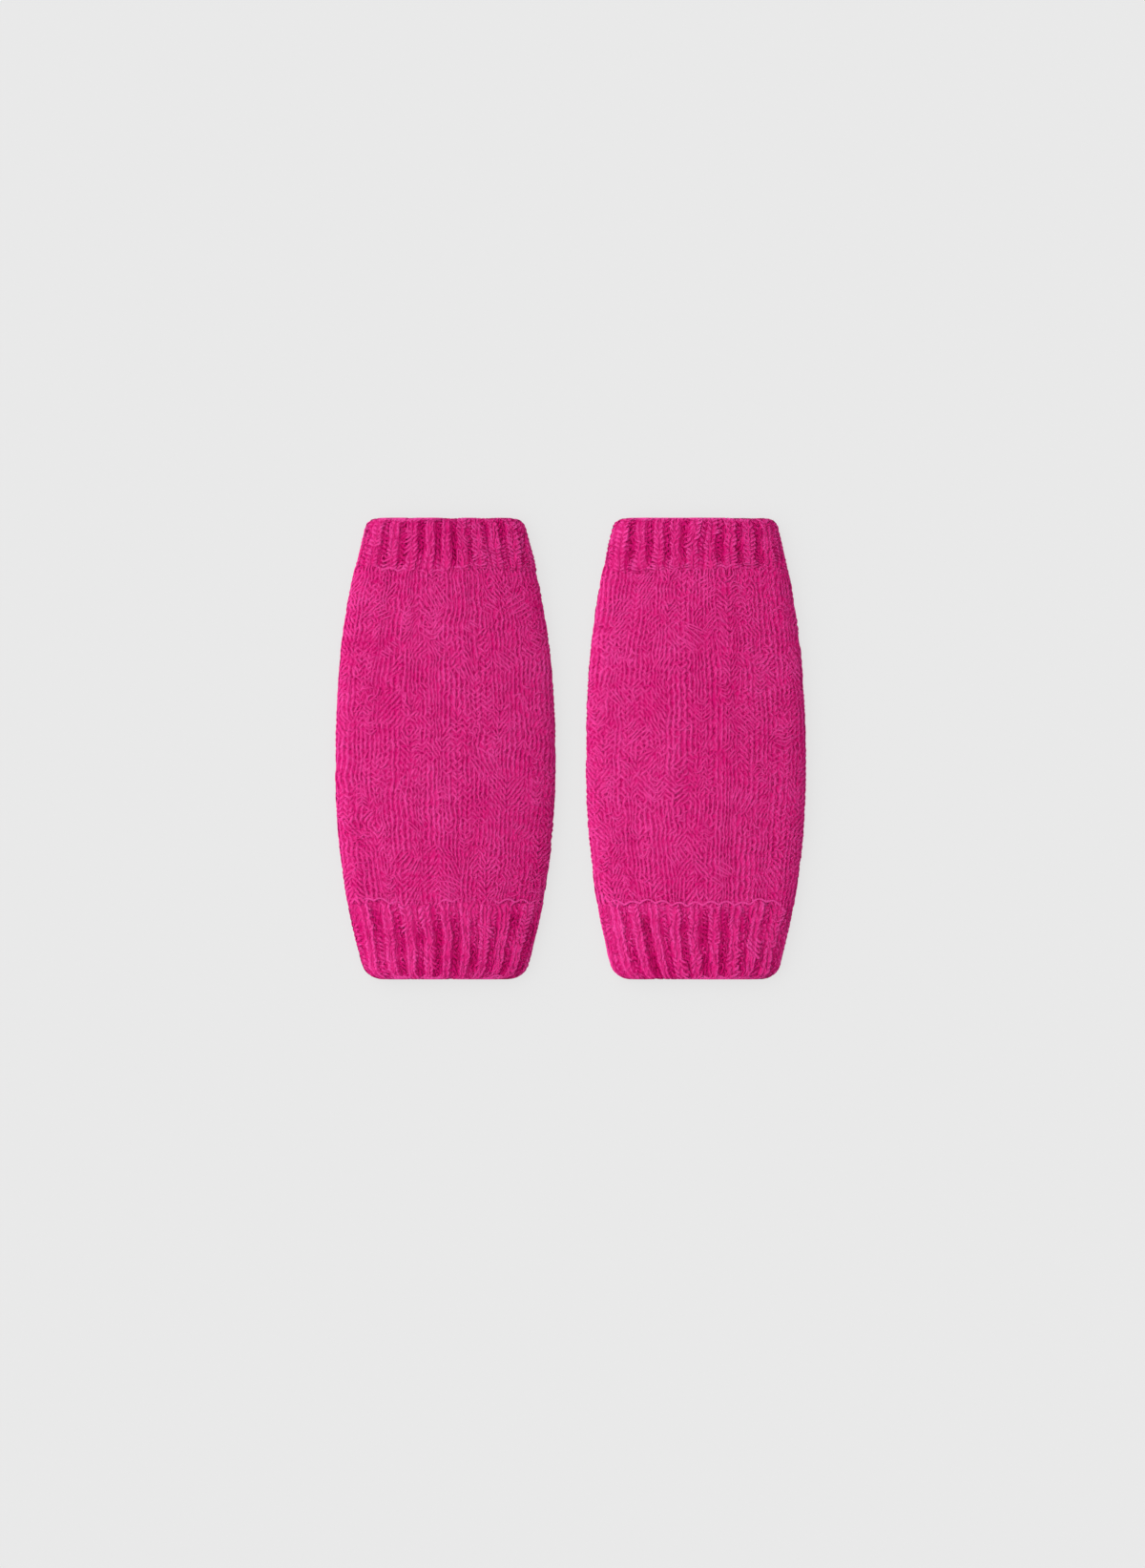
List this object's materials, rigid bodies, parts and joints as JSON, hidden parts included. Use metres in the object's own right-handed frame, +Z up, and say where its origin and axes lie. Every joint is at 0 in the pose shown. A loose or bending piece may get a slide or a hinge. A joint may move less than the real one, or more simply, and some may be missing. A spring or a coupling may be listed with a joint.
{
  "type": "pair of fingerless mitts",
  "caption": "Pair of short fingerless mitts knitted as open tubes, laid flat side by side, each barrel-shaped with a ribbed cuff at both ends.",
  "frame": {"origin": "on the surface the pair lies on, under the middle of the pair", "axes": "+X from the left mitt to the right mitt, +Y towards the finger ends, +Z up out of the surface"},
  "size_m": [0.2142, 0.21, 0.007],
  "materials": {
    "plain_knit": "soft hand-knitted stockinette in magenta wool, matt with a light fuzz",
    "rib_knit": "1x1 rib in the same magenta wool, darker in its valleys"
  },
  "bodies": {
    "root": {"left_upper_cuff": "rib_knit", "left_body": "plain_knit", "left_lower_cuff": "rib_knit", "right_upper_cuff": "rib_knit", "right_body": "plain_knit", "right_lower_cuff": "rib_knit"}
  },
  "joints": []
}
